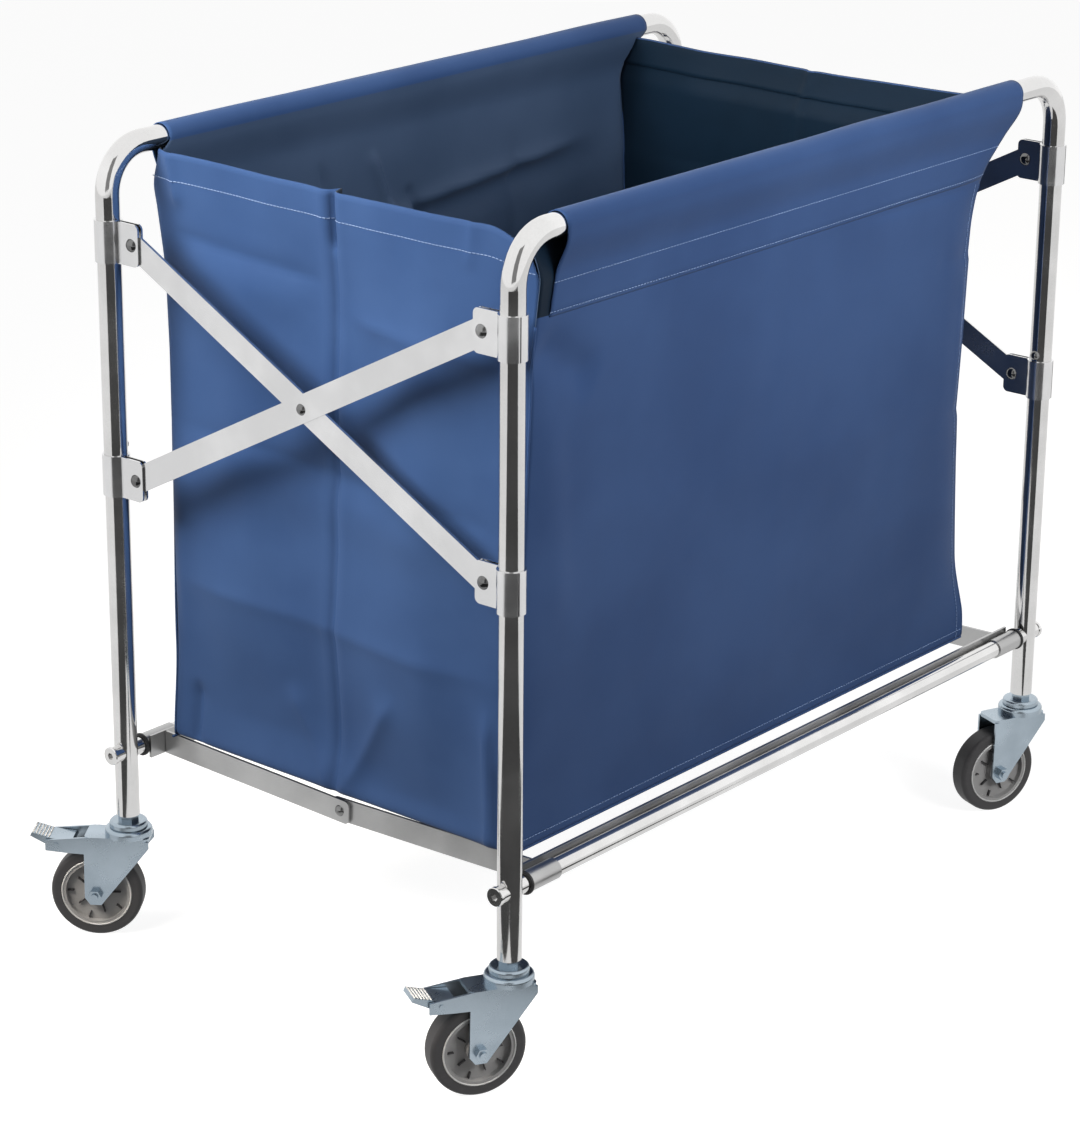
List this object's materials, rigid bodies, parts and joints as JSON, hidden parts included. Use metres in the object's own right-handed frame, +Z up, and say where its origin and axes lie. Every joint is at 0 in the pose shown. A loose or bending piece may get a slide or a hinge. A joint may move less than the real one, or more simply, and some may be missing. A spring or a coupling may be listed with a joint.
{
  "type": "folding linen trolley",
  "caption": "Folding hospital linen trolley: two bent steel side frames, crossed flat bars with sliding collars, a hinged bottom frame, a navy open cloth bag and braked casters.",
  "frame": {"origin": "on the floor, midway between the four legs", "axes": "+X along the length away from the braked casters, +Y across the width, +Z up"},
  "size_m": [1.0577, 0.6576, 0.882],
  "materials": {
    "polished_steel": "polished stainless tube",
    "bright_steel": "satin stainless flat bar and strip",
    "rivet_steel": "bright dome-headed rivets",
    "zinc": "blue-white zinc plate",
    "wheel_grey": "moulded grey plastic",
    "tyre_rubber": "dark grey rubber",
    "bag_cloth": "navy coated woven cloth"
  },
  "bodies": {
    "near_frame": {"near_side_tube": "polished_steel", "near_lower_rail": "polished_steel", "near_rail_bolts": "polished_steel", "near_rail_spacers": "polished_steel", "near_stop_pins": "rivet_steel", "near_left_upper_bracket": "bright_steel", "near_right_upper_bracket": "bright_steel", "near_pivot_rivets": "rivet_steel", "near_caster_stems": "zinc", "bag_near_panel": "bag_cloth", "bag_left_end": "bag_cloth", "bag_right_end": "bag_cloth", "bag_floor": "bag_cloth"},
    "far_frame": {"far_side_tube": "polished_steel", "far_lower_rail": "polished_steel", "far_rail_bolts": "polished_steel", "far_rail_spacers": "polished_steel", "far_stop_pins": "rivet_steel", "far_left_upper_bracket": "bright_steel", "far_right_upper_bracket": "bright_steel", "far_pivot_rivets": "rivet_steel", "far_caster_stems": "zinc", "bag_far_panel": "bag_cloth"},
    "near_bottom_half": {"near_bottom_bar": "bright_steel", "near_bottom_arms": "bright_steel"},
    "far_bottom_half": {"far_bottom_bar": "bright_steel", "far_bottom_arms": "bright_steel", "bottom_arm_rivets": "rivet_steel"},
    "left_outer_bar": {"left_outer_scissor_bar": "bright_steel", "left_outer_bar_rivets": "rivet_steel"},
    "left_inner_bar": {"left_inner_scissor_bar": "bright_steel", "left_inner_bar_rivet": "rivet_steel"},
    "near_left_collar": {"near_left_sliding_collar": "bright_steel"},
    "far_left_collar": {"far_left_sliding_collar": "bright_steel"},
    "right_outer_bar": {"right_outer_scissor_bar": "bright_steel", "right_outer_bar_rivets": "rivet_steel"},
    "right_inner_bar": {"right_inner_scissor_bar": "bright_steel", "right_inner_bar_rivet": "rivet_steel"},
    "near_right_collar": {"near_right_sliding_collar": "bright_steel"},
    "far_right_collar": {"far_right_sliding_collar": "bright_steel"},
    "near_left_caster": {"near_left_caster_fork": "zinc", "near_left_axle_bolt": "zinc"},
    "near_left_wheel": {"near_left_wheel_core": "wheel_grey", "near_left_tyre": "tyre_rubber"},
    "near_right_caster": {"near_right_caster_fork": "zinc", "near_right_axle_bolt": "zinc"},
    "near_right_wheel": {"near_right_wheel_core": "wheel_grey", "near_right_tyre": "tyre_rubber"},
    "far_left_caster": {"far_left_caster_fork": "zinc", "far_left_axle_bolt": "zinc"},
    "far_left_wheel": {"far_left_wheel_core": "wheel_grey", "far_left_tyre": "tyre_rubber"},
    "far_right_caster": {"far_right_caster_fork": "zinc", "far_right_axle_bolt": "zinc"},
    "far_right_wheel": {"far_right_wheel_core": "wheel_grey", "far_right_tyre": "tyre_rubber"},
    "near_left_brake": {"near_left_brake_pedal": "zinc"},
    "far_left_brake": {"far_left_brake_pedal": "zinc"}
  },
  "joints": [
    {"name": "fold", "type": "hinge", "parent": "near_frame", "child": "left_outer_bar", "pos_m": [-0.465, -0.234, 0.773], "axis": [-1, 0, 0], "range_deg": [0, 45], "deforming": ["bag_left_end", "bag_right_end", "bag_floor"]},
    {"name": "left_inner_bar_turn", "type": "hinge", "parent": "left_outer_bar", "child": "left_inner_bar", "pos_m": [-0.465, 0, 0.6485], "axis": [-1, 0, 0], "range_deg": [-90, 0]},
    {"name": "far_frame_turn", "type": "hinge", "parent": "left_inner_bar", "child": "far_frame", "pos_m": [-0.465, 0.234, 0.773], "axis": [-1, 0, 0], "range_deg": [0, 45]},
    {"name": "near_left_collar_turn", "type": "hinge", "parent": "left_inner_bar", "child": "near_left_collar", "pos_m": [-0.465, -0.234, 0.524], "axis": [-1, 0, 0], "range_deg": [0, 45]},
    {"name": "far_left_collar_turn", "type": "hinge", "parent": "left_outer_bar", "child": "far_left_collar", "pos_m": [-0.465, 0.234, 0.524], "axis": [-1, 0, 0], "range_deg": [-45, 0]},
    {"name": "right_outer_bar_turn", "type": "hinge", "parent": "near_frame", "child": "right_outer_bar", "pos_m": [0.465, -0.234, 0.773], "axis": [-1, 0, 0], "range_deg": [0, 45]},
    {"name": "right_inner_bar_turn", "type": "hinge", "parent": "right_outer_bar", "child": "right_inner_bar", "pos_m": [0.465, 0, 0.6485], "axis": [-1, 0, 0], "range_deg": [-90, 0]},
    {"name": "near_right_collar_turn", "type": "hinge", "parent": "right_inner_bar", "child": "near_right_collar", "pos_m": [0.465, -0.234, 0.524], "axis": [-1, 0, 0], "range_deg": [0, 45]},
    {"name": "far_right_collar_turn", "type": "hinge", "parent": "right_outer_bar", "child": "far_right_collar", "pos_m": [0.465, 0.234, 0.524], "axis": [-1, 0, 0], "range_deg": [-45, 0]},
    {"name": "near_bottom_half_turn", "type": "hinge", "parent": "near_frame", "child": "near_bottom_half", "pos_m": [0, -0.268, 0.213], "axis": [1, 0, 0], "range_deg": [0, 67.15]},
    {"name": "far_bottom_half_turn", "type": "hinge", "parent": "far_frame", "child": "far_bottom_half", "pos_m": [0, 0.268, 0.213], "axis": [-1, 0, 0], "range_deg": [0, 67.15]},
    {"name": "near_left_swivel", "type": "hinge", "parent": "near_frame", "child": "near_left_caster", "pos_m": [-0.465, -0.268, 0.12], "axis": [0, 0, 1], "continuous": true},
    {"name": "near_left_wheel_spin", "type": "hinge", "parent": "near_left_caster", "child": "near_left_wheel", "pos_m": [-0.49531, -0.2505, 0.05], "axis": [-0.5, -0.866, 0], "continuous": true},
    {"name": "near_left_brake_press", "type": "hinge", "parent": "near_left_caster", "child": "near_left_brake", "pos_m": [-0.53082, -0.23, 0.107], "axis": [-0.5, -0.866, 0], "range_deg": [0, 14]},
    {"name": "near_right_swivel", "type": "hinge", "parent": "near_frame", "child": "near_right_caster", "pos_m": [0.465, -0.268, 0.12], "axis": [0, 0, 1], "continuous": true},
    {"name": "near_right_wheel_spin", "type": "hinge", "parent": "near_right_caster", "child": "near_right_wheel", "pos_m": [0.43255, -0.25489, 0.05], "axis": [-0.3746, -0.9272, 0], "continuous": true},
    {"name": "far_left_swivel", "type": "hinge", "parent": "far_frame", "child": "far_left_caster", "pos_m": [-0.465, 0.268, 0.12], "axis": [0, 0, 1], "continuous": true},
    {"name": "far_left_wheel_spin", "type": "hinge", "parent": "far_left_caster", "child": "far_left_wheel", "pos_m": [-0.48507, 0.29667, 0.05], "axis": [-0.8192, -0.5736, 0], "continuous": true},
    {"name": "far_left_brake_press", "type": "hinge", "parent": "far_left_caster", "child": "far_left_brake", "pos_m": [-0.50859, 0.33026, 0.107], "axis": [-0.8192, -0.5736, 0], "range_deg": [0, 14]},
    {"name": "far_right_swivel", "type": "hinge", "parent": "far_frame", "child": "far_right_caster", "pos_m": [0.465, 0.268, 0.12], "axis": [0, 0, 1], "continuous": true},
    {"name": "far_right_wheel_spin", "type": "hinge", "parent": "far_right_caster", "child": "far_right_wheel", "pos_m": [0.43469, 0.2855, 0.05], "axis": [-0.5, -0.866, 0], "continuous": true}
  ],
  "couplings": [
    {"joint": "left_inner_bar_turn", "follows": "fold", "ratio": -2},
    {"joint": "far_frame_turn", "follows": "fold", "ratio": 1},
    {"joint": "near_left_collar_turn", "follows": "fold", "ratio": 1},
    {"joint": "far_left_collar_turn", "follows": "fold", "ratio": -1},
    {"joint": "right_outer_bar_turn", "follows": "fold", "ratio": 1},
    {"joint": "right_inner_bar_turn", "follows": "fold", "ratio": -2},
    {"joint": "near_right_collar_turn", "follows": "fold", "ratio": 1},
    {"joint": "far_right_collar_turn", "follows": "fold", "ratio": -1},
    {"joint": "near_bottom_half_turn", "follows": "fold", "ratio": 1.4923},
    {"joint": "far_bottom_half_turn", "follows": "fold", "ratio": 1.4923}
  ]
}
